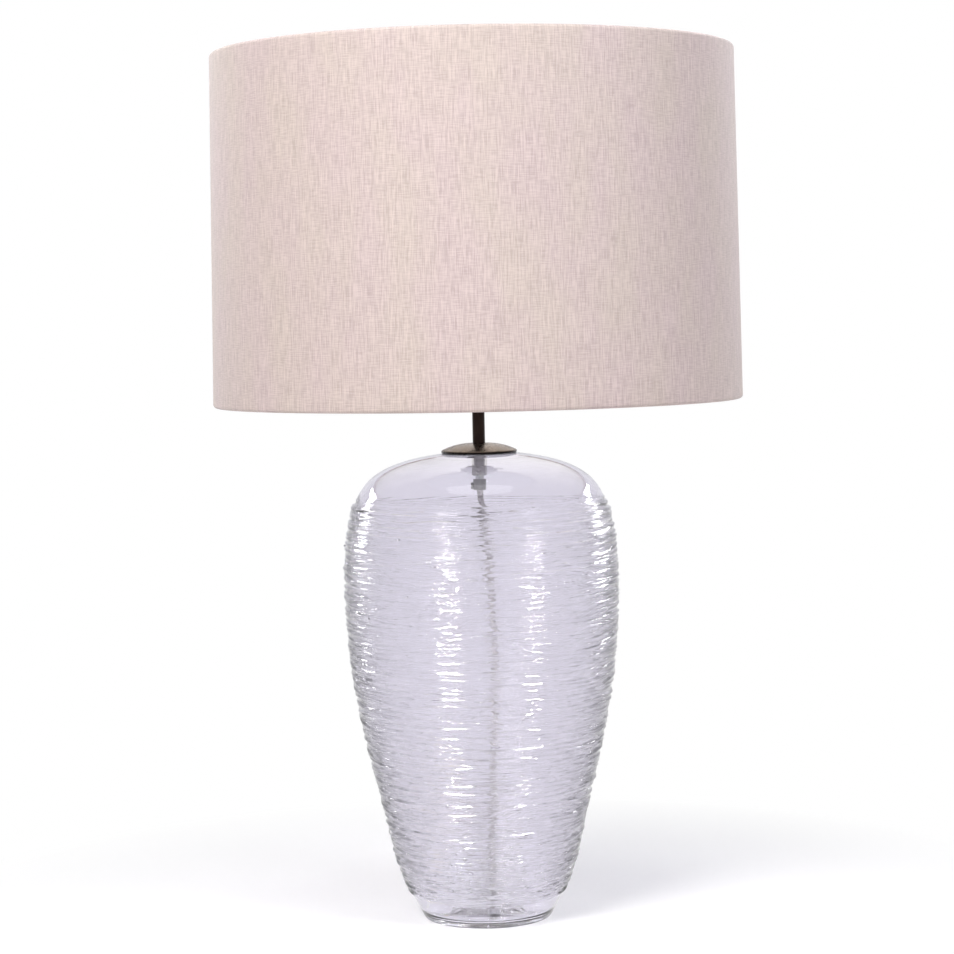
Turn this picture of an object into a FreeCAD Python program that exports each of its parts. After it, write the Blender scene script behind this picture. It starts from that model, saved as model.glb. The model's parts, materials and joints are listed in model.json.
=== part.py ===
import FreeCAD, Part
import math
import os

from FreeCAD import Vector

# Table lamp: a blown glass vase wound with glass trails, a bronze cap and stem, and a drum shade.
# Millimetres. +Z is up, the lamp's axis is Z, the table is z = 0 and the front of the lamp faces -Y.

# --- driving dimensions -------------------------------------------------------------------------

# Vase: radius and height of the blown glass, from the foot's edge to the cap
VASE_PROFILE = [(63.1, 2.6), (69.6, 15.0), (80.6, 38.7), (94.9, 92.6), (113.3, 170.9), (126.7, 248.2),
                (131.3, 323.5), (126.3, 386.6), (109.5, 423.8), (74.1, 443.4), (37.6, 450.5)]
VASE_WALL = 4.0
VASE_FLOOR = 5.4
VASE_FOOT_EDGE = 2.6            # rounding of the foot's outer edge
VASE_FOOT_CORNER = 9.0          # rounding inside, between the wall and the floor
VASE_KICK_R = 24.0              # ground recess under the foot
VASE_KICK_DEPTH = 1.4

# Glass trail wound on the vase
TRAIL_D = 2.2
TRAIL_TOP_Z = 407.0
TRAIL_BOTTOM_Z = 26.0
TRAIL_LOOPS = 18
TRAIL_SWAY = 1.6                # slow rise and fall of the trail about its steady pitch
TRAIL_SWAY_TURNS = 2.7          # turns in one such rise and fall

# Cap, stem and the fixings below the cap
BOND_T = 0.7
BOND_W = 4.6
CAP_R = 36.5
CAP_RIM = 3.0
CAP_RISE = 6.4
CAP_OVER_MOUTH = 6.5            # cap's edge beyond the vase's mouth
CAP_EDGE = 0.8
CAP_SEAT = 1.5                  # flat round the stem's foot
CAP_BULGE = 0.75                # share of the rise reached half way in
PLATE_T = 3.5
WASHER_R = 8.5
WASHER_T = 1.5
NUT_AF = 13.0
NUT_T = 8.0
NUT_SOFT = 0.6                  # share of the corners' depth that is turned off
LOCK_NUT_TURN = 17.0
TAG_T = 0.8
TAG_REACH = 11.5
TAG_W = 5.0
CONDUIT_D = 8.0
CONDUIT_BORE = 5.6
CONDUIT_IN_HOLDER = 5.0         # length of conduit inside the lampholder
STEM_D = 12.0
STEM_LENGTH = 44.6
GRIP_D = 12.5
GRIP_H = 9.6
GRIP_EDGE = 0.6
GRIP_THREAD = 4.0               # length of conduit inside the cord grip
GRIP_BELOW_NUT = 2.8            # bare conduit between the lower nut and the cord grip
GRIP_SCREW_D = 3.6
GRIP_SCREW_LIFT = 3.4           # screw's axis above the bottom of the grip
GRIP_SCREW_HEAD_D = 5.4
GRIP_SCREW_HEAD_T = 2.2
GRIP_SLOT_W = 0.8
CORE_D = 2.0
CORE_RING_R = 1.35
CORE_FIRST_ANGLE = 30.0

# Lampholder
HOLDER_R = 19.4                 # outside of cap and barrel
HOLDER_WALL = 1.3
HOLDER_CAP_H = 22.0
HOLDER_CAP_EDGE = 8.0
HOLDER_BARREL_H = 31.0
HOLDER_FLANGE_R = 24.0
HOLDER_FLANGE_T = 2.0
BLOCK_H = 17.0
BLOCK_LIFT = 1.4                # block above the inside of the holder's cap
SHELL_R = 13.35                 # bore of the lamp thread
SHELL_T = 0.5
SHELL_SHELF_T = 2.0
SHELL_LIFT = 3.0                # shelf above the bottom of the barrel
SHELL_H = 22.0
CONTACT_R = 3.2
CONTACT_H = 2.4
CONTACT_FOOT = 1.5
CONTACT_FOOT_T = 0.6
BAR_D = 5.0
BAR_EDGE = 0.9
BAR_LENGTH = 56.0
BAR_TRAVEL = 6.0
BAR_Z = 9.0                     # bar's axis above the bottom of the lampholder
TERMINAL_D = 4.0
TERMINAL_R = 11.5
TERMINAL_DEPTH = 1.6
TERMINAL_ANGLES = (45.0, 225.0)
SHADE_RING_R = 25.0
SHADE_RING_H = 7.0
SHADE_RING_STEP = 1.5           # foot beyond the gripped part
SHADE_RING_FOOT_T = 2.0
RING_GRIP_COUNT = 24
RING_GRIP_R = 0.9
RING_GRIP_DEPTH = 0.5

# Lamp bulb
BULB_R = 30.0
BULB_LENGTH = 106.0
BULB_CAP_R = 13.1
BULB_CAP_H = 25.5
BULB_NECK_R = 14.6
BULB_WALL = 1.0
BULB_TIP_R = 4.6
BULB_TIP_H = 3.0
BULB_CAP_EDGE_R = 2.5           # taper at the bottom of the bulb's cap
BULB_CAP_EDGE_H = 1.5
BULB_NECK_H = 6.0
BULB_NECK_STEP = 0.4
BULB_WAIST = 1.6
BULB_LEAN = -35.0               # where the round part of the bulb ends

# Shade
FITTER_DROP = 28.9              # fitter ring above the shade's lower edge
SHADE_H = 334.2
SHADE_BOTTOM_R = 254.0
SHADE_TAPER = 4.4               # bottom radius less top radius
FABRIC_T = 0.6
LINER_T = 0.5
SHADE_WIRE_D = 3.5
HEM_H = 8.0
ARM_D = 4.0
ARM_COUNT = 3
ARM_FIRST_ANGLE = 90.0
ARM_FLAT = 12.0                 # level end of each arm at the fitter ring
ARM_NOTCH_W = 9.0
FITTER_BORE_R = 20.6
FITTER_R = 26.6
FITTER_T = 1.5

# Flex
FLEX_D = 6.0
FLEX_IN_GRIP = 3.0              # length of sheath inside the cord grip
HOLE_R = 5.0                    # hole drilled in the foot
HOLE_Z = 15.0
HOLE_ANGLE = 85.0               # direction of the hole about Z, from +X
GROMMET_FLANGE_R = 7.4
GROMMET_FLANGE_T = 1.8
GROMMET_NOSE = 20.0
GROMMET_TIP_R = 4.2
GROMMET_REACH = 1.6             # sleeve inside the wall, in wall thicknesses

COIL_X = -2.7
COIL_Y = 176.0
COIL_MID_R = 35.6
COIL_STEP = 6.6                 # turn to turn and layer to layer
COIL_LAYER_QUARTERS = [6, 5, 5, 6]
COIL_CLIMB_QUARTERS = 2
TIE_T = 1.0
TIE_W = 10.0
TIE_ANGLE = 135.0
TIE_CORNER = 3.0
TIE_SLACK = 0.8

# Plug, lying on its cover with the pins up
PLUG_X = -55.0
PLUG_Y = 228.3
PLUG_LENGTH = 46.0
PLUG_WIDTH = 49.0
PLUG_TAPER = 9.0                # narrowing at the cord's end
PLUG_CORNER = 7.0
PLUG_COVER_T = 12.0
PLUG_BASE_T = 9.0
PLUG_WALL = 2.0
PLUG_SHOULDER = 0.3             # where the taper starts, as a share of the half length
PLUG_COVER_EDGE = 2.5
PLUG_BASE_EDGE = 1.2
PIN_T = 3.95
PIN_LIVE_W = 6.35
PIN_LIVE_LENGTH = 17.7
PIN_EARTH_W = 7.92
PIN_EARTH_LENGTH = 22.7
PIN_SPACING = 22.23
PIN_ROOT = 5.0
PIN_FROM_END = 12.0             # live pins' centres from the cord's end
PIN_CHAMFER = 0.9
GUARD_LENGTH = 24.0
GUARD_ROOT_R = 5.2
GUARD_TIP_R = 3.9
PLUG_ENTRY_Z = 8.6
PLUG_SCREW_X = 2.0
PLUG_SCREW_D = 4.0
PLUG_SCREW_HEAD_D = 7.0
PLUG_SCREW_HEAD_T = 2.4
PLUG_SLOT_W = 1.0
PLUG_POST_WALL = 1.5
FUSE_D = 6.3
FUSE_LENGTH = 25.4
FUSE_INSET = 2.5                # fuse from the cover's inner walls

# Clearances
THREAD_FIT = 0.06               # radial, between threads drawn plain
SLIDE_FIT = 0.08                # radial, the switch bar in its holes
SEAT_GAP = 0.3                  # soft and curved pieces beside their seats
GLUE_GAP = 0.1
WIRE_GAP = 0.5                  # round the shade's wires
LOOSE_FIT = 0.6                 # radial, the plate in the vase's mouth
WELD = 0.8                      # depth of a weld between two wires

# --- sizes and heights that follow --------------------------------------------------------------

VASE_MOUTH_R = CAP_R - CAP_OVER_MOUTH
SHADE_TOP_R = SHADE_BOTTOM_R - SHADE_TAPER
VASE_TOP = VASE_PROFILE[-1][1]
CAP_Z = VASE_TOP + BOND_T
CAP_TOP = CAP_Z + CAP_RIM + CAP_RISE
HOLDER_Z = CAP_TOP + STEM_LENGTH
PLATE_Z = CAP_Z - PLATE_T
WASHER_Z = PLATE_Z - WASHER_T
NUT_Z = WASHER_Z - NUT_T
TAG_Z = NUT_Z - TAG_T
LOCK_NUT_Z = TAG_Z - NUT_T
GRIP_TOP = LOCK_NUT_Z - GRIP_BELOW_NUT
GRIP_Z = GRIP_TOP - GRIP_H
CONDUIT_Z = GRIP_TOP - GRIP_THREAD
GRIP_SCREW_Z = GRIP_Z + GRIP_SCREW_LIFT
BARREL_Z = HOLDER_Z + HOLDER_CAP_H
FITTER_Z = BARREL_Z + HOLDER_FLANGE_T
SHADE_RING_Z = FITTER_Z + FITTER_T
SHADE_BOTTOM_Z = FITTER_Z - FITTER_DROP
SHADE_TOP_Z = SHADE_BOTTOM_Z + SHADE_H
BLOCK_Z = HOLDER_Z + HOLDER_WALL + BLOCK_LIFT
BLOCK_TOP = BLOCK_Z + BLOCK_H
BAR_AXIS_Z = HOLDER_Z + BAR_Z
SHELL_Z = BARREL_Z + SHELL_LIFT
BULB_Z = BLOCK_TOP + CONTACT_H + SEAT_GAP
FLEX_R = FLEX_D / 2

up = Vector(0, 0, 1)
origin = Vector(0, 0, 0)


# --- shape helpers ------------------------------------------------------------------------------

def at(r, z):
    """Point of a half section in the XZ plane."""
    return Vector(r, 0, z)


def line(a, b):
    return Part.LineSegment(a, b).toShape()


def arc(a, b, c):
    return Part.Arc(a, b, c).toShape()


def turn(edges):
    """Solid of revolution about Z from the closed half section made by the edges."""
    face = Part.Face(Part.Wire(Part.__sortEdges__(edges)))
    return face.revolve(origin, up, 360)


def turned(points):
    """Solid of revolution about Z from a closed half section with straight sides."""
    face = Part.Face(Part.makePolygon(points + [points[0]]))
    return face.revolve(origin, up, 360)


def turned_on_x(points):
    """Solid of revolution about X; the points are given along X and away from it."""
    face = Part.Face(Part.makePolygon(points + [points[0]]))
    return face.revolve(origin, Vector(1, 0, 0), 360)


def rod(r, length, base, direction=up):
    return Part.makeCylinder(r, length, base, direction)


def tube(r_out, r_in, length, base, direction=up):
    return rod(r_out, length, base, direction).cut(rod(r_in, length, base, direction))


def polar(r, angle, z=0.0):
    a = math.radians(angle)
    return Vector(r * math.cos(a), r * math.sin(a), z)


def about_axis(shape, angle):
    copy = shape.copy()
    copy.rotate(origin, up, angle)
    return copy


def save(name, shape):
    if not shape.isValid():
        print("not valid:", name)
    solids = shape.Solids
    if len(solids) == 1:
        shape = solids[0]
    shape.exportStep("parts/" + name + ".step")
    box = shape.BoundBox
    report = (name, len(solids), shape.Volume, box.ZMin, box.ZMax)
    print("%-20s solids %2d volume %10.0f  z %7.2f %7.2f" % report)


# --- round tubes along a route or a winding -----------------------------------------------------

def rounded_route(points, share=0.45):
    """Straight runs joined by tangent arcs, each as large as its two runs allow. Gives edges and radii."""
    edges = []
    radii = []
    start = points[0]
    for i in range(1, len(points) - 1):
        corner = points[i]
        back = points[i - 1] - corner
        ahead = points[i + 1] - corner
        half_turn = (math.pi - back.getAngle(ahead)) / 2
        reach = share * min(back.Length, ahead.Length)
        radii.append(reach / math.tan(half_turn))
        enter = corner + back.normalize() * reach
        leave = corner + ahead.normalize() * reach
        centre_dir = (back + ahead).normalize()
        centre = corner + centre_dir * (radii[-1] / math.cos(half_turn))
        middle = centre - centre_dir * radii[-1]
        edges.append(line(start, enter))
        edges.append(arc(enter, middle, leave))
        start = leave
    edges.append(line(start, points[-1]))
    return edges, radii


def route_tube(name, points, diameter):
    edges, radii = rounded_route(points)
    path = Part.Wire(edges)
    ahead = (points[1] - points[0]).normalize()
    section = Part.Wire(Part.makeCircle(diameter / 2, points[0], ahead))
    solid = path.makePipeShell([section], True, False)
    expected = math.pi * diameter ** 2 / 4 * path.Length
    print(name, "radii", [round(r, 1) for r in radii], "length %.1f" % path.Length,
          "volume over section times length %.4f" % (solid.Volume / expected))
    return solid, path.Length


def arc_middle(p, t, q):
    """Middle of the arc that leaves p along the direction t and ends at q."""
    chord = q - p
    lean = t.getAngle(chord)
    side = (chord - t * chord.dot(t)).normalize()
    radius = chord.Length / (2 * math.sin(lean))
    centre = p + side * radius
    return centre + ((p + q) * 0.5 - centre).normalize() * radius


def biarc(p, t, q, u):
    """Two tangent arcs from p along t to q along u."""
    chord = q - p
    a = 2 * (1 - t.dot(u))
    b = chord.dot(t + u)
    reach = (-b + math.sqrt(b * b + a * chord.dot(chord))) / a
    joint = (p + t * reach + q - u * reach) * 0.5
    return [arc(p, arc_middle(p, t, joint), joint), arc(joint, arc_middle(q, u * -1, joint), q)]


def winding(place, quarters, diameter, end_run):
    """Tube along place(angle) by biarcs of a quarter turn, with straight ends. Gives solid and path."""
    step = 0.001

    def heading(angle):
        return (place(angle + step) - place(angle - step)).normalize()

    angles = [math.pi / 2 * i for i in range(quarters + 1)]
    edges = []
    for a, b in zip(angles, angles[1:]):
        edges += biarc(place(a), heading(a), place(b), heading(b))
    first = place(angles[0]) - heading(angles[0]) * end_run
    last = place(angles[-1]) + heading(angles[-1]) * end_run
    edges = [line(first, place(angles[0]))] + edges + [line(place(angles[-1]), last)]
    path = Part.Wire(edges)
    section = Part.Wire(Part.makeCircle(diameter / 2, first, heading(angles[0])))
    return path.makePipeShell([section], True, False), path


def least_gap(path, diameter, skip):
    """Least gap of a tube to itself, on points along its path and skip apart along it."""
    spacing = 3.0
    spots = path.discretize(int(path.Length / spacing))
    cells = {}
    size = diameter * 3
    for i, p in enumerate(spots):
        cells.setdefault((int(p.x // size), int(p.y // size), int(p.z // size)), []).append(i)
    least = size
    near = [-1, 0, 1]
    for (x, y, z), members in cells.items():
        around = []
        for dx in near:
            for dy in near:
                for dz in near:
                    around += cells.get((x + dx, y + dy, z + dz), [])
        for i in members:
            for j in around:
                if (j - i) * spacing > skip:
                    least = min(least, (spots[i] - spots[j]).Length)
    return least - diameter


# --- vase ---------------------------------------------------------------------------------------

def spline(points):
    curve = Part.BSplineCurve()
    curve.interpolate(points)
    return curve


OUTER = spline([at(r, z) for r, z in VASE_PROFILE])


def inward(t):
    """Direction into the vase, square to its outside at the curve's parameter t."""
    along = OUTER.tangent(t)[0]
    return Vector(-along.z, 0, along.x)


def parameter_at(z):
    low = OUTER.FirstParameter
    high = OUTER.LastParameter
    for _ in range(40):
        middle = (low + high) / 2
        if OUTER.value(middle).z < z:
            low = middle
        else:
            high = middle
    return low


def vase():
    t_foot = parameter_at(VASE_FLOOR + VASE_FOOT_CORNER)
    t_top = OUTER.LastParameter
    inner_count = 11
    inside = []
    for i in range(inner_count):
        t = t_foot + (t_top - t_foot) * i / (inner_count - 1)
        inside.append(OUTER.value(t) + inward(t) * VASE_WALL)
    inner = spline(inside)
    low = inside[0]
    high = inside[-1]
    foot = OUTER.value(OUTER.FirstParameter)
    edge_bottom = at(foot.x - VASE_FOOT_EDGE, 0)
    edge_r = (VASE_FOOT_EDGE ** 2 + foot.z ** 2) / (2 * foot.z)
    edge_half = math.asin(VASE_FOOT_EDGE / edge_r) / 2
    edge_mid = at(edge_bottom.x + edge_r * math.sin(edge_half), edge_r * (1 - math.cos(edge_half)))
    corner_end = at(low.x - VASE_FOOT_CORNER, VASE_FLOOR)
    bend = VASE_FOOT_CORNER * (1 - math.sqrt(0.5))
    corner_mid = at(low.x - bend, VASE_FLOOR + bend)
    crown = OUTER.value(t_top)
    mouth_low = at(VASE_MOUTH_R, high.z + (crown.z - high.z) * 0.45)
    lip_r = (crown.z - mouth_low.z) * 0.9
    lip_in = at(VASE_MOUTH_R, crown.z - lip_r)
    lip_top = at(VASE_MOUTH_R + lip_r, crown.z)
    lip_bend = lip_r * (1 - math.sqrt(0.5))
    edges = [OUTER.toShape(),
             arc(foot, edge_mid, edge_bottom),
             line(edge_bottom, at(VASE_KICK_R, 0)),
             arc(at(VASE_KICK_R, 0), at(VASE_KICK_R / 2, VASE_KICK_DEPTH * 0.75), at(0, VASE_KICK_DEPTH)),
             line(at(0, VASE_KICK_DEPTH), at(0, VASE_FLOOR)),
             line(at(0, VASE_FLOOR), corner_end),
             arc(corner_end, corner_mid, low),
             inner.toShape(),
             line(high, mouth_low),
             line(mouth_low, lip_in),
             arc(lip_in, at(VASE_MOUTH_R + lip_bend, crown.z - lip_bend), lip_top),
             line(lip_top, crown)]
    hole_at = polar(low.x - VASE_FOOT_CORNER, HOLE_ANGLE, HOLE_Z)
    hole = rod(HOLE_R, VASE_FOOT_CORNER * 3, hole_at, polar(1, HOLE_ANGLE))
    return turn(edges).cut(hole)


def trail_place(angle):
    turns = angle / (2 * math.pi)
    fall = (TRAIL_TOP_Z - TRAIL_BOTTOM_Z) / TRAIL_LOOPS
    sway = TRAIL_SWAY * math.sin(2 * math.pi * turns / TRAIL_SWAY_TURNS)
    t = parameter_at(TRAIL_TOP_Z - fall * turns + sway)
    centre = OUTER.value(t) - inward(t) * (TRAIL_D / 2 + SEAT_GAP)
    a = angle
    return Vector(centre.x * math.cos(a), centre.x * math.sin(a), centre.z)


def glass_trail():
    quarters = TRAIL_LOOPS * 4
    solid, path = winding(trail_place, quarters, TRAIL_D, TRAIL_D)
    print("glass trail: least gap to itself %.2f" % least_gap(path, TRAIL_D, VASE_MOUTH_R * 3))
    away = []
    for p in path.discretize(quarters * 8):
        r = math.hypot(p.x, p.y)
        t = parameter_at(p.z)
        n = inward(t)
        away.append((OUTER.value(t) - at(r, p.z)).dot(n) - TRAIL_D / 2)
    print("glass trail: clear of the glass by %.2f to %.2f" % (min(away), max(away)))
    return solid


# --- cap, stem and fixings ----------------------------------------------------------------------

def bond_ring():
    return tube(CAP_R - LOOSE_FIT, CAP_R - LOOSE_FIT - BOND_W, BOND_T, at(0, VASE_TOP))


def vase_cap():
    hole = CONDUIT_D / 2 + THREAD_FIT
    rim_top = CAP_Z + CAP_RIM
    seat = STEM_D / 2 + CAP_SEAT
    soft = CAP_EDGE
    rise_at_mid = CAP_RISE * CAP_BULGE
    edges = [line(at(hole, CAP_Z), at(CAP_R - soft, CAP_Z)),
             line(at(CAP_R - soft, CAP_Z), at(CAP_R, CAP_Z + soft)),
             line(at(CAP_R, CAP_Z + soft), at(CAP_R, rim_top - soft)),
             line(at(CAP_R, rim_top - soft), at(CAP_R - soft, rim_top)),
             arc(at(CAP_R - soft, rim_top), at((CAP_R + seat) / 2, rim_top + rise_at_mid),
                 at(seat, CAP_TOP)),
             line(at(seat, CAP_TOP), at(hole, CAP_TOP)),
             line(at(hole, CAP_TOP), at(hole, CAP_Z))]
    return turn(edges)


def locating_plate():
    return tube(VASE_MOUTH_R - LOOSE_FIT, CONDUIT_D / 2 + THREAD_FIT, PLATE_T, at(0, PLATE_Z))


def plate_washer():
    return tube(WASHER_R, CONDUIT_D / 2 + THREAD_FIT, WASHER_T, at(0, WASHER_Z))


def hex_nut(z, angle):
    corner_r = NUT_AF / math.sqrt(3)
    corners = [polar(corner_r, angle + 60 * i, z) for i in range(7)]
    block = Part.Face(Part.makePolygon(corners)).extrude(Vector(0, 0, NUT_T))
    edge = corner_r - NUT_AF / 2
    top = z + NUT_T
    edge *= NUT_SOFT
    soft = turned([at(0, z), at(NUT_AF / 2, z), at(corner_r, z + edge), at(corner_r, top - edge),
                   at(NUT_AF / 2, top), at(0, top)])
    return block.common(soft).cut(rod(CONDUIT_D / 2 + THREAD_FIT, NUT_T, at(0, z)))


def clamp_nuts():
    return Part.makeCompound([hex_nut(NUT_Z, 0), hex_nut(LOCK_NUT_Z, LOCK_NUT_TURN)])


def earth_tag():
    ring = rod(NUT_AF / 2, TAG_T, at(0, TAG_Z))
    tab = Part.makeBox(TAG_REACH, TAG_W, TAG_T, Vector(-TAG_REACH, -TAG_W / 2, TAG_Z))
    return ring.fuse(tab).cut(rod(CONDUIT_D / 2 + THREAD_FIT, TAG_T, at(0, TAG_Z))).removeSplitter()


def conduit():
    length = HOLDER_Z + CONDUIT_IN_HOLDER - CONDUIT_Z
    return tube(CONDUIT_D / 2, CONDUIT_BORE / 2, length, at(0, CONDUIT_Z))


def stem_tube():
    return tube(STEM_D / 2, CONDUIT_D / 2 + THREAD_FIT, HOLDER_Z - CAP_TOP, at(0, CAP_TOP))


def cord_grip():
    edge = GRIP_EDGE
    r = GRIP_D / 2
    body = turned([at(0, GRIP_Z), at(r - edge, GRIP_Z), at(r, GRIP_Z + edge), at(r, GRIP_TOP),
                   at(0, GRIP_TOP)])
    body = body.cut(rod(CONDUIT_D / 2 + THREAD_FIT, GRIP_THREAD, at(0, CONDUIT_Z)))
    body = body.cut(rod(FLEX_R + GLUE_GAP, FLEX_IN_GRIP, at(0, GRIP_Z)))
    body = body.cut(rod(CONDUIT_BORE / 2, GRIP_H, at(0, GRIP_Z)))
    return body.cut(rod(GRIP_SCREW_D / 2 + THREAD_FIT, r, Vector(0, 0, GRIP_SCREW_Z), Vector(-1, 0, 0)))


def grip_screw():
    z = GRIP_SCREW_Z
    left = Vector(-1, 0, 0)
    tip = FLEX_R + GLUE_GAP
    shank = rod(GRIP_SCREW_D / 2, GRIP_D / 2 - tip, Vector(-tip, 0, z), left)
    head = rod(GRIP_SCREW_HEAD_D / 2, GRIP_SCREW_HEAD_T, Vector(-GRIP_D / 2, 0, z), left)
    slot_w = GRIP_SLOT_W
    slot_x = -GRIP_D / 2 - GRIP_SCREW_HEAD_T
    slot_at = Vector(slot_x, -GRIP_SCREW_HEAD_D / 2, z - slot_w / 2)
    slot = Part.makeBox(slot_w, GRIP_SCREW_HEAD_D, slot_w, slot_at)
    return shank.fuse(head).cut(slot).removeSplitter()


def flex_cores():
    bottom = GRIP_Z + FLEX_IN_GRIP + GLUE_GAP
    length = BLOCK_Z - bottom
    feet = [polar(CORE_RING_R, 120 * i + CORE_FIRST_ANGLE, bottom) for i in range(3)]
    return Part.makeCompound([rod(CORE_D / 2, length, foot) for foot in feet])


# --- lampholder ---------------------------------------------------------------------------------

def bar_hole(r):
    return rod(r, HOLDER_R * 4, Vector(-HOLDER_R * 2, 0, BAR_AXIS_Z), Vector(1, 0, 0))


def holder_cap():
    top = BARREL_Z
    r = HOLDER_R
    e = HOLDER_CAP_EDGE
    w = HOLDER_WALL
    bend = math.sqrt(0.5)
    hole = CONDUIT_D / 2 + THREAD_FIT
    z = HOLDER_Z
    outer_mid = at(r - e + e * bend, z + e - e * bend)
    inner_e = e - w
    inner_mid = at(r - e + inner_e * bend, z + e - inner_e * bend)
    edges = [line(at(hole, z), at(r - e, z)),
             arc(at(r - e, z), outer_mid, at(r, z + e)),
             line(at(r, z + e), at(r, top)),
             line(at(r, top), at(r - w, top)),
             line(at(r - w, top), at(r - w, z + e)),
             arc(at(r - w, z + e), inner_mid, at(r - e, z + w)),
             line(at(r - e, z + w), at(hole, z + w)),
             line(at(hole, z + w), at(hole, z))]
    return turn(edges).cut(bar_hole(BAR_D / 2 + SLIDE_FIT))


def switch_block():
    r = HOLDER_R - HOLDER_WALL - SEAT_GAP
    narrow = HOLDER_R - HOLDER_CAP_EDGE
    block = turned([at(0, BLOCK_Z), at(narrow, BLOCK_Z), at(r, BLOCK_Z + HOLDER_CAP_EDGE - BLOCK_LIFT),
                    at(r, BLOCK_TOP), at(0, BLOCK_TOP)])
    block = block.cut(bar_hole(BAR_D / 2 + SLIDE_FIT))
    conduit_top = HOLDER_Z + CONDUIT_IN_HOLDER
    block = block.cut(rod(CONDUIT_D / 2 + SEAT_GAP, conduit_top + SEAT_GAP - BLOCK_Z, at(0, BLOCK_Z)))
    for angle in TERMINAL_ANGLES:
        block = block.cut(rod(TERMINAL_D / 2 + GLUE_GAP, TERMINAL_DEPTH,
                              polar(TERMINAL_R, angle, BLOCK_TOP - TERMINAL_DEPTH)))
    return block


def terminal_screws():
    screws = []
    for angle in TERMINAL_ANGLES:
        base = polar(TERMINAL_R, angle, BLOCK_TOP - TERMINAL_DEPTH)
        screws.append(rod(TERMINAL_D / 2, TERMINAL_DEPTH, base))
    return Part.makeCompound(screws)


def centre_contact():
    foot = rod(CONTACT_R + CONTACT_FOOT, CONTACT_FOOT_T, at(0, BLOCK_TOP))
    button = rod(CONTACT_R, CONTACT_H, at(0, BLOCK_TOP))
    return foot.fuse(button).removeSplitter()


def switch_bar():
    """The bar at rest stands further out on +X, and moves towards -X."""
    r = BAR_D / 2
    soft = BAR_EDGE
    first = -BAR_LENGTH / 2 + BAR_TRAVEL / 2
    last = first + BAR_LENGTH
    half = [at(first, 0), at(first, r - soft), at(first + soft, r), at(last - soft, r), at(last, r - soft),
            at(last, 0)]
    bar = turned_on_x(half)
    bar.translate(Vector(0, 0, BAR_AXIS_Z))
    return bar


def holder_barrel():
    body = tube(HOLDER_R, HOLDER_R - HOLDER_WALL, HOLDER_BARREL_H, at(0, BARREL_Z))
    flange = tube(HOLDER_FLANGE_R, HOLDER_R - HOLDER_WALL, HOLDER_FLANGE_T, at(0, BARREL_Z))
    return body.fuse(flange).removeSplitter()


def screw_shell():
    """Insulated sleeve with the lamp thread, standing on a shelf that fits the barrel."""
    shelf = tube(HOLDER_R - HOLDER_WALL - GLUE_GAP, SHELL_R, SHELL_SHELF_T, at(0, SHELL_Z))
    sleeve = tube(SHELL_R + SHELL_T, SHELL_R, SHELL_H, at(0, SHELL_Z))
    return shelf.fuse(sleeve).removeSplitter()


def shade_ring():
    grip_r = SHADE_RING_R - SHADE_RING_STEP
    ring = tube(grip_r, HOLDER_R + THREAD_FIT, SHADE_RING_H, at(0, SHADE_RING_Z))
    foot = tube(SHADE_RING_R, HOLDER_R + THREAD_FIT, SHADE_RING_FOOT_T, at(0, SHADE_RING_Z))
    ring = ring.fuse(foot).removeSplitter()
    groove_r = grip_r + RING_GRIP_R - RING_GRIP_DEPTH
    for i in range(RING_GRIP_COUNT):
        base = polar(groove_r, 360 / RING_GRIP_COUNT * i, SHADE_RING_Z + SHADE_RING_FOOT_T)
        ring = ring.cut(rod(RING_GRIP_R, SHADE_RING_H, base))
    return ring


# --- bulb ---------------------------------------------------------------------------------------

def bulb_cap():
    z = BULB_Z
    top = z + BULB_CAP_H
    low = z + BULB_TIP_H
    return turned([at(0, z), at(BULB_TIP_R, z), at(BULB_CAP_R - BULB_CAP_EDGE_R, low),
                   at(BULB_CAP_R, low + BULB_CAP_EDGE_H), at(BULB_CAP_R, top), at(0, top)])


def bulb_glass():
    z = BULB_Z + BULB_CAP_H
    centre_z = BULB_Z + BULB_LENGTH - BULB_R
    r = BULB_R
    n = BULB_NECK_R
    w = BULB_WALL
    lean = math.radians(BULB_LEAN)

    def section(radius, neck, low):
        across = radius * math.cos(lean)
        rise = radius * math.sin(lean)
        side = at(across, centre_z + rise)
        neck_point = at(neck, z + low)
        waist = at((side.x + neck) / 2 - BULB_WAIST, (side.z + neck_point.z) / 2)
        return [line(at(neck, z), neck_point), arc(neck_point, waist, side),
                arc(side, at(across, centre_z - rise), at(0, centre_z + radius))]

    outside = section(r, n, BULB_NECK_H)
    inside = section(r - w, n - w, BULB_NECK_H + BULB_NECK_STEP)
    ends = [line(at(n, z), at(n - w, z)), line(at(0, centre_z + r), at(0, centre_z + r - w))]
    return turn(outside + inside + ends)


# --- shade --------------------------------------------------------------------------------------

# Outer radius of the rolled hem, and the wire's centre from the outside of the cloth
HEM_OUT = FABRIC_T + (GLUE_GAP + LINER_T + SHADE_WIRE_D + 2 * WIRE_GAP) / 2
WIRE_INSET = FABRIC_T + GLUE_GAP + LINER_T + WIRE_GAP + SHADE_WIRE_D / 2
WIRE_LIFT = HEM_OUT


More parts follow.
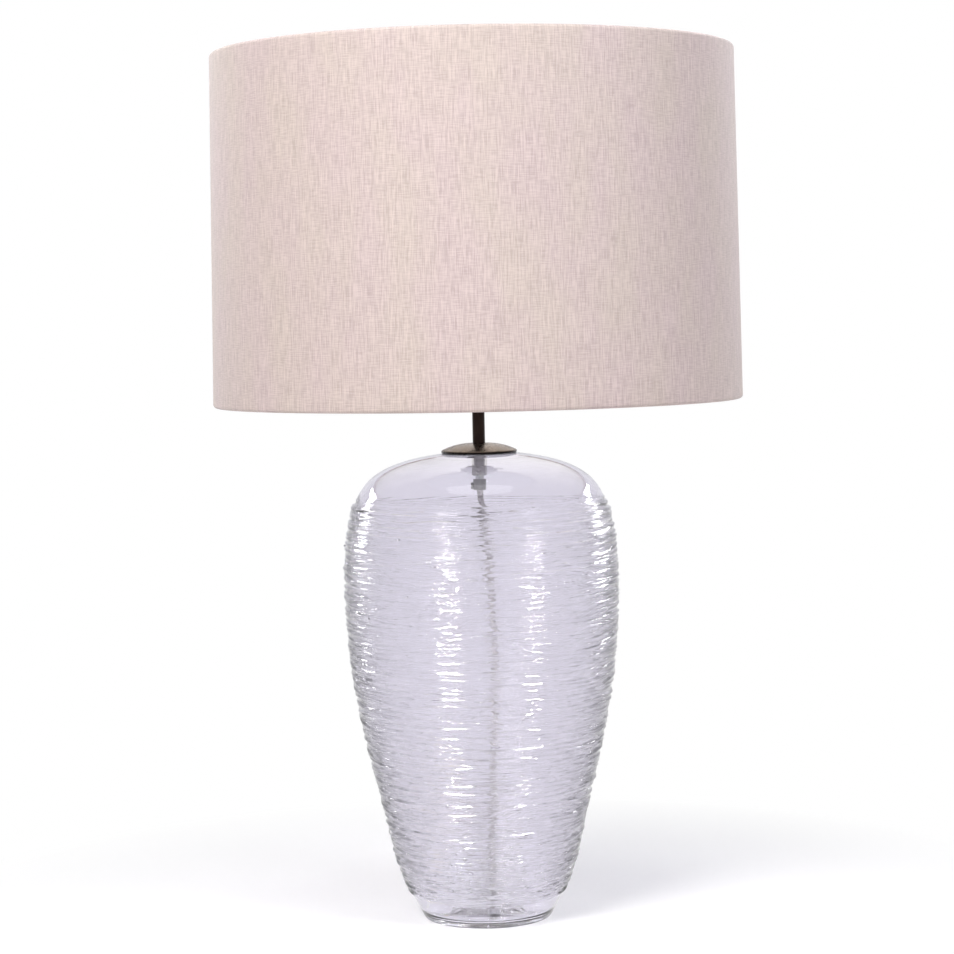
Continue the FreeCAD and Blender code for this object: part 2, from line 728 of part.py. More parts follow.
def shade_fabric():
    """Cloth with both edges rolled over the wires."""
    low = SHADE_BOTTOM_Z + HEM_OUT
    high = SHADE_TOP_Z - HEM_OUT
    big = HEM_OUT
    small = HEM_OUT - FABRIC_T
    b = SHADE_BOTTOM_R
    t = SHADE_TOP_R
    edges = [line(at(b, low), at(t, high)),
             arc(at(t, high), at(t - big, high + big), at(t - 2 * big, high)),
             line(at(t - 2 * big, high), at(t - 2 * big, high - HEM_H)),
             line(at(t - 2 * big, high - HEM_H), at(t - 2 * big + FABRIC_T, high - HEM_H)),
             line(at(t - 2 * big + FABRIC_T, high - HEM_H), at(t - 2 * big + FABRIC_T, high)),
             arc(at(t - 2 * big + FABRIC_T, high), at(t - big, high + small), at(t - FABRIC_T, high)),
             line(at(t - FABRIC_T, high), at(b - FABRIC_T, low)),
             arc(at(b - FABRIC_T, low), at(b - big, low - small), at(b - 2 * big + FABRIC_T, low)),
             line(at(b - 2 * big + FABRIC_T, low), at(b - 2 * big + FABRIC_T, low + HEM_H)),
             line(at(b - 2 * big + FABRIC_T, low + HEM_H), at(b - 2 * big, low + HEM_H)),
             line(at(b - 2 * big, low + HEM_H), at(b - 2 * big, low)),
             arc(at(b - 2 * big, low), at(b - big, low - big), at(b, low))]
    cloth = turn(edges)
    notch_depth = 2 * FABRIC_T
    notch = Part.makeBox(notch_depth * 3, ARM_NOTCH_W, HEM_H + ARM_D,
                         Vector(b - 2 * big - notch_depth, -ARM_NOTCH_W / 2, low - ARM_D / 2 - FABRIC_T))
    for i in range(ARM_COUNT):
        cloth = cloth.cut(about_axis(notch, ARM_FIRST_ANGLE + 360 / ARM_COUNT * i))
    return cloth


def shade_liner():
    low = SHADE_BOTTOM_Z + HEM_OUT
    high = SHADE_TOP_Z - HEM_OUT
    b = SHADE_BOTTOM_R - FABRIC_T - GLUE_GAP
    t = SHADE_TOP_R - FABRIC_T - GLUE_GAP
    return turned([at(b, low), at(t, high), at(t - LINER_T, high), at(b - LINER_T, low)])


def shade_wire(outside_r, z):
    return Part.makeTorus(outside_r - WIRE_INSET, SHADE_WIRE_D / 2, at(0, z), up)


def fitter_ring():
    return tube(FITTER_R, FITTER_BORE_R, FITTER_T, at(0, FITTER_Z))


def spider_arms():
    wire_r = SHADE_BOTTOM_R - WIRE_INSET
    start = at(wire_r - SHADE_WIRE_D / 2 + WELD, SHADE_BOTTOM_Z + WIRE_LIFT)
    level = FITTER_Z + FITTER_T / 2
    knee = at(FITTER_R + ARM_FLAT, level)
    end = at(FITTER_R - WELD, level)
    edges, radii = rounded_route([start, knee, end])
    heading = (knee - start).normalize()
    section = Part.Wire(Part.makeCircle(ARM_D / 2, start, heading))
    arm = Part.Wire(edges).makePipeShell([section], True, False)
    angles = [ARM_FIRST_ANGLE + 360 / ARM_COUNT * i for i in range(ARM_COUNT)]
    return Part.makeCompound([about_axis(arm, angle) for angle in angles])


# --- flex, coil and plug ------------------------------------------------------------------------

def foot_radius():
    return OUTER.value(parameter_at(HOLE_Z)).x


def outward(r, z=HOLE_Z):
    return polar(r, HOLE_ANGLE, z)


def grommet():
    """Clear bush in the foot's hole with a tapering nose, turned about the hole's own axis."""
    wall_out = foot_radius()
    slope = OUTER.value(parameter_at(HOLE_Z + GROMMET_FLANGE_R)).x - wall_out + GLUE_GAP
    inner_face = wall_out - VASE_WALL * GROMMET_REACH - slope
    body_r = HOLE_R - GLUE_GAP
    bore = FLEX_R + GLUE_GAP
    flange_out = wall_out + slope
    nose_start = flange_out + GROMMET_FLANGE_T
    tip = nose_start + GROMMET_NOSE
    bush = turned_on_x([at(inner_face, bore), at(inner_face, body_r), at(flange_out, body_r),
                        at(flange_out, GROMMET_FLANGE_R), at(nose_start, GROMMET_FLANGE_R),
                        at(nose_start, body_r), at(tip, GROMMET_TIP_R), at(tip, bore)])
    bush.translate(Vector(0, 0, HOLE_Z))
    return about_axis(bush, HOLE_ANGLE), inner_face, tip


# Route of the flex inside the vase, below the cord grip and down to the foot
INNER_ROUTE = [(1.0, -0.4, 398), (6.2, -4, 362), (10.2, -9, 306), (12.3, -14, 240), (8.8, -18, 170),
               (6.0, -19.5, 106), (5.0, -17, 62), (4.8, -11.5, 36), (4.6, -1, 21), (4.3, 12.7, 12.8),
               (4.0, 28.6, 10.9)]
INNER_LAST_RUN = 14.0
# Steps of the flex from the grommet's tip to the coil, and from the coil to the plug's guard
LEAD_STEPS = [(1.3, 15.1, 0), (6.9, 13.8, -2.0), (15.6, 14.0, -6.1), (6.7, 15.5, -2.7)]
PLUG_STEPS = [(0, 11.9, 0), (-3.4, 12.9, -2.5), (-6.9, 10.6, -4.8), (-10.4, 7.3, -5.2),
              (-12.8, 3.6, -2.9)]


def coil_marks():
    """Radius at each quarter turn of the put-away coil, and the quarter where each climb starts."""
    rate = COIL_STEP / 4
    sweep = COIL_LAYER_QUARTERS[0] + COIL_CLIMB_QUARTERS / 2
    radii = [COIL_MID_R + rate * sweep / 2]
    climbs = []
    inwards = True
    for k, quarters in enumerate(COIL_LAYER_QUARTERS):
        before = COIL_CLIMB_QUARTERS // 2 if k > 0 else 0
        after = COIL_CLIMB_QUARTERS // 2 if k < len(COIL_LAYER_QUARTERS) - 1 else 0
        for _ in range(before + quarters + after):
            radii.append(radii[-1] + (-rate if inwards else rate))
        if after:
            climbs.append(len(radii) - 1 - after)
        inwards = not inwards
    return radii, climbs


COIL_RADII, COIL_CLIMBS = coil_marks()
COIL_FIRST_Z = FLEX_R + TIE_T + 0.2
COIL_LAST_Z = COIL_FIRST_Z + COIL_STEP * len(COIL_CLIMBS)


def coil_place(angle):
    """Centre of the coiled flex: it spirals at a steady rate and climbs where the spiral reverses."""
    quarter = angle / (math.pi / 2)
    i = min(max(int(quarter), 0), len(COIL_RADII) - 2)
    r = COIL_RADII[i] + (COIL_RADII[i + 1] - COIL_RADII[i]) * (quarter - i)
    z = COIL_FIRST_Z
    for start in COIL_CLIMBS:
        s = min(max((quarter - start) / COIL_CLIMB_QUARTERS, 0), 1)
        z += COIL_STEP * s * s * (3 - 2 * s)
    return Vector(COIL_X + r * math.cos(angle), COIL_Y + r * math.sin(angle), z)


def stepped(start, steps, end):
    points = [start]
    for step in steps:
        points.append(points[-1] + Vector(*step))
    return points + [end]


def coil_tie():
    """Flat band round the bundle of turns, its lower side on the table."""
    r_in = min(COIL_RADII) - FLEX_R - TIE_SLACK
    r_out = max(COIL_RADII) + FLEX_R + TIE_SLACK
    top = COIL_LAST_Z + FLEX_R + SEAT_GAP

    def frame(grow):
        loop = Part.makeBox(r_out - r_in + 2 * grow, TIE_W, top - TIE_T + 2 * grow,
                            Vector(r_in - grow, -TIE_W / 2, TIE_T - grow))
        upright = [e for e in loop.Edges if abs(e.Vertexes[0].Y - e.Vertexes[1].Y) > TIE_W / 2]
        return loop.makeFillet(TIE_CORNER + grow, upright)

    band = frame(TIE_T).cut(frame(0))
    band.rotate(origin, up, TIE_ANGLE)
    band.translate(Vector(COIL_X, COIL_Y, 0))
    return band


def plug_outline(inset, z, height):
    """Plug's plan: a square with a tapered cord end on +X and rounded corners, centred on the plug."""
    half_l = PLUG_LENGTH / 2 - inset
    half_w = PLUG_WIDTH / 2 - inset
    narrow = half_w - PLUG_TAPER
    shoulder = half_l * PLUG_SHOULDER
    corners = [Vector(-half_l, -half_w, z), Vector(shoulder, -half_w, z), Vector(half_l, -narrow, z),
               Vector(half_l, narrow, z), Vector(shoulder, half_w, z), Vector(-half_l, half_w, z)]
    block = Part.Face(Part.makePolygon(corners + [corners[0]])).extrude(Vector(0, 0, height))
    upright = [e for e in block.Edges if abs(e.Vertexes[0].Z - e.Vertexes[1].Z) > height / 2]
    return block.makeFillet(PLUG_CORNER - inset, upright)


def place_plug(shape):
    shape.translate(Vector(PLUG_X, PLUG_Y, 0))
    return shape


def cord_way(r):
    return rod(r, PLUG_LENGTH, Vector(PLUG_LENGTH / 2 - PLUG_WALL * 3, 0, PLUG_ENTRY_Z), Vector(1, 0, 0))


def plug_screw_at(z):
    return Vector(PLUG_SCREW_X, 0, z)


def plug_cover():
    shell = plug_outline(0, 0, PLUG_COVER_T)
    bottom = [e for e in shell.Edges if max(v.Z for v in e.Vertexes) < 0.01]
    shell = shell.makeFillet(PLUG_COVER_EDGE, bottom)
    hollow = plug_outline(PLUG_WALL, PLUG_WALL, PLUG_COVER_T)
    post_r = PLUG_SCREW_HEAD_D / 2 + PLUG_POST_WALL
    post = rod(post_r, PLUG_COVER_T - PLUG_WALL, plug_screw_at(PLUG_WALL))
    shell = shell.cut(hollow).fuse(post)
    shell = shell.cut(rod(PLUG_SCREW_D / 2 + THREAD_FIT, PLUG_COVER_T, plug_screw_at(0)))
    return place_plug(shell.cut(cord_way(FLEX_R + GLUE_GAP)).removeSplitter())


def pin_places():
    """Centre, size along and across the plug, and length of each pin, the earth pin last."""
    live_x = PLUG_LENGTH / 2 - PIN_FROM_END
    earth_x = live_x - PIN_SPACING
    half = PIN_SPACING / 2
    return [(live_x, half, PIN_T, PIN_LIVE_W, PIN_LIVE_LENGTH),
            (live_x, -half, PIN_T, PIN_LIVE_W, PIN_LIVE_LENGTH),
            (earth_x, 0, PIN_EARTH_W, PIN_T, PIN_EARTH_LENGTH)]


def pin_block(grow, extra):
    top = PLUG_COVER_T + PLUG_BASE_T
    blocks = []
    for x, y, along, across, length in pin_places():
        size = Vector(along + 2 * grow, across + 2 * grow, length + PIN_ROOT + extra)
        corner = Vector(x - size.x / 2, y - size.y / 2, top - PIN_ROOT)
        blocks.append(Part.makeBox(size.x, size.y, size.z, corner))
    return blocks


def plug_base():
    body = plug_outline(0, PLUG_COVER_T, PLUG_BASE_T)
    top = [e for e in body.Edges if min(v.Z for v in e.Vertexes) > PLUG_COVER_T + PLUG_BASE_T - 0.01]
    body = body.makeFillet(PLUG_BASE_EDGE, top)
    for block in pin_block(GLUE_GAP / 2, 1):
        body = body.cut(block)
    head_z = PLUG_COVER_T + PLUG_BASE_T - PLUG_SCREW_HEAD_T
    body = body.cut(rod(PLUG_SCREW_HEAD_D / 2 + GLUE_GAP, PLUG_SCREW_HEAD_T, plug_screw_at(head_z)))
    body = body.cut(rod(PLUG_SCREW_D / 2 + THREAD_FIT, PLUG_BASE_T, plug_screw_at(PLUG_COVER_T)))
    return place_plug(body)


def plug_pins():
    pins = []
    for block in pin_block(0, 0):
        ends = [e for e in block.Edges if min(v.Z for v in e.Vertexes) > block.BoundBox.ZMax - 0.01]
        pins.append(block.makeChamfer(PIN_CHAMFER, ends))
    return place_plug(Part.makeCompound(pins))


def plug_screw():
    top = PLUG_COVER_T + PLUG_BASE_T
    head = rod(PLUG_SCREW_HEAD_D / 2, PLUG_SCREW_HEAD_T, plug_screw_at(top - PLUG_SCREW_HEAD_T))
    shank = rod(PLUG_SCREW_D / 2, top - PLUG_WALL, plug_screw_at(PLUG_WALL))
    slot_w = PLUG_SLOT_W
    slot_at = plug_screw_at(top - slot_w) - Vector(PLUG_SCREW_HEAD_D / 2, slot_w / 2, 0)
    slot = Part.makeBox(PLUG_SCREW_HEAD_D, slot_w, slot_w, slot_at)
    return place_plug(head.fuse(shank).cut(slot).removeSplitter())


def plug_fuse():
    """Fuse under the base, beside the live pin."""
    inset = PLUG_WALL + FUSE_INSET
    start = Vector(-PLUG_LENGTH / 2 + inset, PLUG_WIDTH / 2 - inset - FUSE_D / 2,
                   PLUG_COVER_T - FUSE_D / 2 - GLUE_GAP)
    return place_plug(rod(FUSE_D / 2, FUSE_LENGTH, start, Vector(1, 0, 0)))


def cord_guard():
    """Tapering flexible guard on the plug's cord end, with its root clamped in the cover."""
    root = PLUG_LENGTH / 2
    inner = FLEX_R + GLUE_GAP / 2
    tip = root + GUARD_LENGTH
    guard = turned_on_x([at(root, inner), at(root, GUARD_ROOT_R), at(tip, GUARD_TIP_R), at(tip, inner)])
    guard.translate(Vector(0, 0, PLUG_ENTRY_Z))
    return place_plug(guard)


def save_flex(hole_in, hole_out):
    """Flex from the cord grip to the plug, in stretches that meet end to end, and the coil's tie."""
    coil, path = winding(coil_place, len(COIL_RADII) - 1, FLEX_D, FLEX_D)
    gap = least_gap(path, FLEX_D, FLEX_D * 4)
    print("flex coil: length %.1f, least gap to itself %.2f" % (path.Length, gap))
    coil_start = path.OrderedVertexes[0].Point
    coil_end = path.OrderedVertexes[-1].Point
    grip_end = Vector(0, 0, GRIP_Z + FLEX_IN_GRIP)
    guard_tip = Vector(PLUG_X + PLUG_LENGTH / 2 + GUARD_LENGTH, PLUG_Y, PLUG_ENTRY_Z)
    inner = [grip_end] + [Vector(*p) for p in INNER_ROUTE]
    inner += [outward(hole_in - INNER_LAST_RUN), outward(hole_in)]
    routes = {"flex_inside": inner,
              "flex_lead": stepped(outward(hole_out), LEAD_STEPS, coil_start),
              "flex_to_plug": stepped(coil_end, PLUG_STEPS, guard_tip)}
    lengths = {}
    for name, points in routes.items():
        solid, lengths[name] = route_tube(name, points, FLEX_D)
        save(name, solid)
        print("   points", [(round(p.x, 1), round(p.y, 1), round(p.z, 1)) for p in points])
    print("flex outside the lamp: %.0f" % (path.Length + lengths["flex_lead"] + lengths["flex_to_plug"]))
    save("flex_coil", coil)
    save("coil_tie", coil_tie())
    save("flex_in_foot", rod(FLEX_R, hole_out - hole_in, outward(hole_in), polar(1, HOLE_ANGLE)))
    inside_plug = GUARD_LENGTH + PLUG_WALL * 3
    save("flex_in_plug", rod(FLEX_R, inside_plug, guard_tip, Vector(-1, 0, 0)))


def main():
    os.makedirs("parts", exist_ok=True)
    save("vase_glass", vase())
    save("glass_trail", glass_trail())
    save("bond_ring", bond_ring())
    save("vase_cap", vase_cap())
    save("locating_plate", locating_plate())
    save("plate_washer", plate_washer())
    save("clamp_nuts", clamp_nuts())
    save("earth_tag", earth_tag())
    save("conduit", conduit())
    save("stem_tube", stem_tube())
    save("cord_grip", cord_grip())
    save("grip_screw", grip_screw())
    save("flex_cores", flex_cores())
    save("holder_cap", holder_cap())
    save("switch_block", switch_block())
    save("terminal_screws", terminal_screws())
    save("centre_contact", centre_contact())
    save("switch_bar", switch_bar())
    save("holder_barrel", holder_barrel())
    save("screw_shell", screw_shell())
    save("shade_ring", shade_ring())
    save("bulb_cap", bulb_cap())
    save("bulb_glass", bulb_glass())
    save("shade_fabric", shade_fabric())
    save("shade_liner", shade_liner())
    save("shade_bottom_wire", shade_wire(SHADE_BOTTOM_R, SHADE_BOTTOM_Z + WIRE_LIFT))
    save("shade_top_wire", shade_wire(SHADE_TOP_R, SHADE_TOP_Z - WIRE_LIFT))
    save("fitter_ring", fitter_ring())
    save("spider_arms", spider_arms())
    bush, hole_in, hole_out = grommet()
    save("foot_grommet", bush)
    save_flex(hole_in, hole_out)
    save("cord_guard", cord_guard())
    save("plug_cover", plug_cover())
    save("plug_base", plug_base())
    save("plug_pins", plug_pins())
    save("plug_screw", plug_screw())
    save("plug_fuse", plug_fuse())


main()
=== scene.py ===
import json
import math

import bmesh
import bpy
import numpy as np
from mathutils import Matrix, Vector


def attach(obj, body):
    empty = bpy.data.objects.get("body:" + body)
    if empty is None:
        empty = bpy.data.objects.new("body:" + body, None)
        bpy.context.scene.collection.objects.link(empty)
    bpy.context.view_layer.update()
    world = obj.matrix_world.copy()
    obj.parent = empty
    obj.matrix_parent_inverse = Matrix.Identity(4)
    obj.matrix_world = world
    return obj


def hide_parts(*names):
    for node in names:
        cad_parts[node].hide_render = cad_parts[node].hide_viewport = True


# Table lamp: glass vase wound with glass trails, bronze cap and stem, linen drum shade.
# Lengths are in metres here; the values named in mm repeat those of the part's source.

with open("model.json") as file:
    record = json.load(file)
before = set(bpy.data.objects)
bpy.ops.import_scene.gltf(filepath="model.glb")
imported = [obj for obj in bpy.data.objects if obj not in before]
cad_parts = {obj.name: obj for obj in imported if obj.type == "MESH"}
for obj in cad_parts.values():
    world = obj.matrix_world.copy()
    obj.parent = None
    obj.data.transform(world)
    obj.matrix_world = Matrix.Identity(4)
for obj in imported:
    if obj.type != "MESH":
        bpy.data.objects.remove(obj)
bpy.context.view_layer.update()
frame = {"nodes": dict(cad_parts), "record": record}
NODES = frame["nodes"]
scene = bpy.context.scene
MM = 0.001


# --- camera -------------------------------------------------------------------------------------

CAMERA_AT = (0, -2.486, 0.5917)
CAMERA_LENS = 97.33
CAMERA_YAW = 0.001              # angles in radians
CAMERA_DOWN = 0.0659
CAMERA_ROLL = 0.0197


def place_camera():
    data = bpy.data.cameras.new("Camera")
    camera = bpy.data.objects.new("Camera", data)
    scene.collection.objects.link(camera)
    scene.camera = camera
    data.sensor_width = 36
    data.lens = CAMERA_LENS
    data.clip_end = 60
    data.dof.use_dof = False
    camera.location = CAMERA_AT
    turn = Matrix.Rotation(CAMERA_YAW, 3, "Z") @ Matrix.Rotation(math.pi / 2 - CAMERA_DOWN, 3, "X")
    camera.rotation_euler = (turn @ Matrix.Rotation(-CAMERA_ROLL, 3, "Z")).to_euler()


place_camera()


# --- node materials -----------------------------------------------------------------------------

class Paint:
    """One node material, built up from a Principled shader."""

    def __init__(self, name, color, rough, metal=0.0, **values):
        self.material = bpy.data.materials.new(name)
        self.material.use_nodes = True
        self.tree = self.material.node_tree
        self.shader = self.tree.nodes["Principled BSDF"]
        self.set("Base Color", (*color, 1))
        self.set("Roughness", rough)
        self.set("Metallic", metal)
        for key, value in values.items():
            self.set(key.replace("_", " "), value)

    def set(self, socket, value):
        self.shader.inputs[socket].default_value = value

    def node(self, kind, **values):
        made = self.tree.nodes.new(kind)
        for key, value in values.items():
            setattr(made, key, value)
        return made

    def link(self, start, end):
        self.tree.links.new(start, end)

    def math(self, operation, a, b):
        made = self.node("ShaderNodeMath", operation=operation)
        for socket, value in zip(made.inputs, (a, b)):
            if isinstance(value, (int, float)):
                socket.default_value = value
            else:
                self.link(value, socket)
        return made.outputs[0]

    def place(self):
        return self.node("ShaderNodeTexCoord").outputs["Object"]

    def around(self, radius):
        """Arc length round the lamp's axis, and height. The cut is at the back."""
        split = self.node("ShaderNodeSeparateXYZ")
        self.link(self.place(), split.inputs[0])
        x, y, z = split.outputs
        back = self.math("MULTIPLY", y, -1.0)
        angle = self.math("ARCTAN2", x, back)
        return self.math("MULTIPLY", angle, radius), z

    def stretched(self, across, up, across_scale, up_scale, offset=0.0):
        joined = self.node("ShaderNodeCombineXYZ")
        self.link(self.math("MULTIPLY", across, across_scale), joined.inputs[0])
        self.link(self.math("MULTIPLY", up, up_scale), joined.inputs[1])
        joined.inputs[2].default_value = offset
        return joined.outputs[0]

    def noise(self, vector, scale, detail=3.0, rough=0.55, distortion=0.0):
        made = self.node("ShaderNodeTexNoise")
        made.inputs["Scale"].default_value = scale
        made.inputs["Detail"].default_value = detail
        made.inputs["Roughness"].default_value = rough
        made.inputs["Distortion"].default_value = distortion
        self.link(vector, made.inputs["Vector"])
        return made.outputs["Fac"]

    def remap(self, value, low, high, to_low, to_high):
        made = self.node("ShaderNodeMapRange")
        for socket, amount in zip(range(1, 5), (low, high, to_low, to_high)):
            made.inputs[socket].default_value = amount
        self.link(value, made.inputs[0])
        return made.outputs[0]

    def colors(self, value, a, b):
        made = self.node("ShaderNodeMix", data_type="RGBA")
        self.link(value, made.inputs["Factor"])
        for socket, color in (("A", a), ("B", b)):
            if isinstance(color, tuple):
                made.inputs[socket].default_value = (*color, 1)
            else:
                self.link(color, made.inputs[socket])
        return made.outputs["Result"]

    def faces_up(self):
        """1 where the surface looks straight up, 0 where it is upright."""
        split = self.node("ShaderNodeSeparateXYZ")
        self.link(self.node("ShaderNodeNewGeometry").outputs["Normal"], split.inputs[0])
        return split.outputs[2]

    def feed(self, socket, output):
        self.link(output, self.shader.inputs[socket])

    def bump(self, height, strength, distance):
        made = self.node("ShaderNodeBump")
        made.inputs["Strength"].default_value = strength
        made.inputs["Distance"].default_value = distance
        self.link(height, made.inputs["Height"])
        self.feed("Normal", made.outputs[0])

    def mottled(self, size, a, b, rough, bump=0.0):
        """Slow change of colour and gloss, and a slight unevenness, of about this size."""
        spots = self.noise(self.place(), 1 / size)
        self.feed("Base Color", self.colors(self.remap(spots, 0.3, 0.7, 0, 1), a, b))
        self.feed("Roughness", self.remap(spots, 0.25, 0.75, rough[0], rough[1]))
        if bump:
            self.bump(self.noise(self.place(), 4 / size), 0.6, bump)
        return self


def dress(obj, paint):
    obj.data.materials.clear()
    obj.data.materials.append(paint.material)
    for polygon in obj.data.polygons:
        polygon.material_index = 0


FINISHES = {
    "clear_silicone": Paint("clear_silicone", (0.86, 0.86, 0.88), 0.3, Transmission_Weight=0.7, IOR=1.41)
    .mottled(0.01, (0.84, 0.84, 0.87), (0.9, 0.9, 0.92), (0.25, 0.4)),
    "dark_bronze": Paint("dark_bronze", (0.02, 0.013, 0.011), 0.34, 1.0)
    .mottled(0.02, (0.016, 0.01, 0.009), (0.03, 0.019, 0.016), (0.28, 0.42), 0.00002),
    "plated_steel": Paint("plated_steel", (0.55, 0.54, 0.53), 0.3, 1.0)
    .mottled(0.006, (0.46, 0.45, 0.44), (0.62, 0.61, 0.6), (0.24, 0.4), 0.00001),
    "brass": Paint("brass", (0.72, 0.53, 0.26), 0.28, 1.0)
    .mottled(0.006, (0.66, 0.48, 0.22), (0.78, 0.6, 0.32), (0.22, 0.36), 0.00001),
    "grey_nylon": Paint("grey_nylon", (0.35, 0.34, 0.34), 0.5)
    .mottled(0.004, (0.3, 0.295, 0.3), (0.38, 0.37, 0.37), (0.42, 0.58), 0.00002),
    "core_plastic": Paint("core_plastic", (0.5, 0.35, 0.25), 0.45)
    .mottled(0.01, (0.42, 0.27, 0.18), (0.5, 0.36, 0.26), (0.4, 0.5)),
    "holder_ceramic": Paint("holder_ceramic", (0.86, 0.84, 0.8), 0.3)
    .mottled(0.008, (0.82, 0.8, 0.76), (0.88, 0.87, 0.84), (0.2, 0.4), 0.00002),
    "black_plastic": Paint("black_plastic", (0.03, 0.03, 0.032), 0.4)
    .mottled(0.005, (0.025, 0.025, 0.027), (0.04, 0.04, 0.043), (0.34, 0.5), 0.00001),
    "bulb_metal": Paint("bulb_metal", (0.75, 0.75, 0.74), 0.3, 1.0)
    .mottled(0.006, (0.7, 0.7, 0.69), (0.8, 0.8, 0.79), (0.22, 0.38), 0.00001),
    "opal_glass": Paint("opal_glass", (0.9, 0.9, 0.9), 0.12, Subsurface_Weight=0.3, Subsurface_Scale=0.01)
    .mottled(0.02, (0.88, 0.88, 0.88), (0.93, 0.93, 0.92), (0.1, 0.16)),
    "white_liner": Paint("white_liner", (0.87, 0.86, 0.84), 0.65)
    .mottled(0.02, (0.85, 0.84, 0.82), (0.89, 0.885, 0.87), (0.6, 0.75), 0.00005),
    "white_wire": Paint("white_wire", (0.82, 0.82, 0.81), 0.4)
    .mottled(0.006, (0.78, 0.78, 0.77), (0.84, 0.84, 0.83), (0.34, 0.5), 0.00002),
    "tie_band": Paint("tie_band", (0.8, 0.8, 0.8), 0.45)
    .mottled(0.004, (0.74, 0.74, 0.74), (0.84, 0.84, 0.84), (0.4, 0.55), 0.00003),
    "white_plastic": Paint("white_plastic", (0.85, 0.85, 0.84), 0.35)
    .mottled(0.008, (0.82, 0.82, 0.81), (0.87, 0.87, 0.86), (0.3, 0.45), 0.00002),
    "silver_flex": Paint("silver_flex", (0.5, 0.48, 0.48), 0.25, 0.3, Coat_Weight=0.6, Coat_Roughness=0.12)
    .mottled(0.004, (0.4, 0.38, 0.38), (0.58, 0.56, 0.56), (0.2, 0.36), 0.00004),
}

GLASS = Paint("clear_glass", (0.95, 0.945, 0.965), 0.015, Transmission_Weight=1.0, IOR=1.42)
GLASS_ARC, GLASS_UP = GLASS.around(0.12)
GLASS_DRAWN = GLASS.noise(GLASS.stretched(GLASS_ARC, GLASS_UP, 48, 760), 1.0, 2.0, 0.5, 0.3)
GLASS_WOUND = GLASS.math("MULTIPLY", GLASS.remap(GLASS_UP, 0.02, 0.045, 0, 1),
                         GLASS.remap(GLASS_UP, 0.385, 0.41, 1, 0))
GLASS.bump(GLASS.math("MULTIPLY", GLASS.remap(GLASS_DRAWN, 0.52, 0.8, 0, 1), GLASS_WOUND), 0.8, 0.0004)
FINISHES["clear_glass"] = GLASS

BRONZE = Paint("bronze", (0.2, 0.13, 0.08), 0.22, 1.0)
BRONZE_SPOTS = BRONZE.remap(BRONZE.noise(BRONZE.place(), 55), 0.3, 0.7, 0, 1)
BRONZE_TOP = BRONZE.colors(BRONZE_SPOTS, (0.17, 0.13, 0.1), (0.25, 0.195, 0.15))
# Painted shade and painted dark reflection: upright faces, such as the cap's rim, are painted near black,
# while faces looking up get the spotted bronze.
BRONZE.feed("Base Color", BRONZE.colors(BRONZE.remap(BRONZE.faces_up(), 0.2, 0.75, 0, 1),
                                        (0.012, 0.009, 0.008), BRONZE_TOP))
BRONZE.feed("Roughness", BRONZE.remap(BRONZE_SPOTS, 0, 1, 0.2, 0.32))
BRONZE.bump(BRONZE.noise(BRONZE.place(), 220), 0.6, 0.00002)
FINISHES["bronze"] = BRONZE

LINEN = Paint("linen", (0.48, 0.39, 0.36), 0.85, Sheen_Weight=0.15, Sheen_Roughness=0.5)
LINEN_ARC, LINEN_UP = LINEN.around(0.2527)
LINEN_WARP = LINEN.noise(LINEN.stretched(LINEN_ARC, LINEN_UP, 1250, 70), 1.0, 1.0, 0.5)
LINEN_SLUB = LINEN.noise(LINEN.stretched(LINEN_ARC, LINEN_UP, 560, 32, 3.0), 1.0, 2.0, 0.5)
LINEN_WEFT = LINEN.noise(LINEN.stretched(LINEN_ARC, LINEN_UP, 90, 1150, 7.0), 1.0, 1.0, 0.5)
LINEN_PATCH = LINEN.noise(LINEN.stretched(LINEN_ARC, LINEN_UP, 24, 9, 11.0), 1.0, 2.0, 0.5)
LINEN_MIX = LINEN.math("ADD", LINEN.math("MULTIPLY", LINEN_WARP, 0.4),
                       LINEN.math("ADD", LINEN.math("MULTIPLY", LINEN_SLUB, 0.3),
                                  LINEN.math("MULTIPLY", LINEN_WEFT, 0.3)))
LINEN_TONE = LINEN.remap(LINEN_MIX, 0.4, 0.6, 0, 1)
LINEN_PINK = LINEN.colors(LINEN_TONE, (0.395, 0.31, 0.295), (0.54, 0.437, 0.418))
LINEN_SAND = LINEN.colors(LINEN_TONE, (0.395, 0.321, 0.285), (0.54, 0.451, 0.404))
LINEN.feed("Base Color", LINEN.colors(LINEN.remap(LINEN_PATCH, 0.35, 0.65, 0, 1), LINEN_PINK, LINEN_SAND))
LINEN.bump(LINEN.math("ADD", LINEN_WARP, LINEN_WEFT), 0.5, 0.0002)
FINISHES["linen"] = LINEN

for row in frame["record"]["subparts"]:
    dress(NODES[row["node"]], FINISHES[row["material_slot"]])


# --- meshes -------------------------------------------------------------------------------------

def mesh_piece(name, vertices, faces, paint, smooth=True):
    mesh = bpy.data.meshes.new(name)
    mesh.from_pydata([tuple(v) for v in vertices], [], [tuple(f) for f in faces])
    mesh.update()
    if smooth:
        mesh.polygons.foreach_set("use_smooth", [True] * len(mesh.polygons))
    mesh.materials.append(paint.material)
    obj = bpy.data.objects.new(name, mesh)
    scene.collection.objects.link(obj)
    return obj


SPLINE_POINTS = 4001
SHARP_ANGLE = math.radians(40)


def grid_faces(rows, columns):
    """Quads of a surface of closed rings, the rows themselves closed into a loop."""
    i, j = np.meshgrid(np.arange(rows), np.arange(columns), indexing="ij")
    a = i * columns + j
    b = i * columns + (j + 1) % columns
    c = ((i + 1) % rows) * columns + (j + 1) % columns
    d = ((i + 1) % rows) * columns + j
    return np.stack([a, b, c, d], axis=-1).reshape(-1, 4)


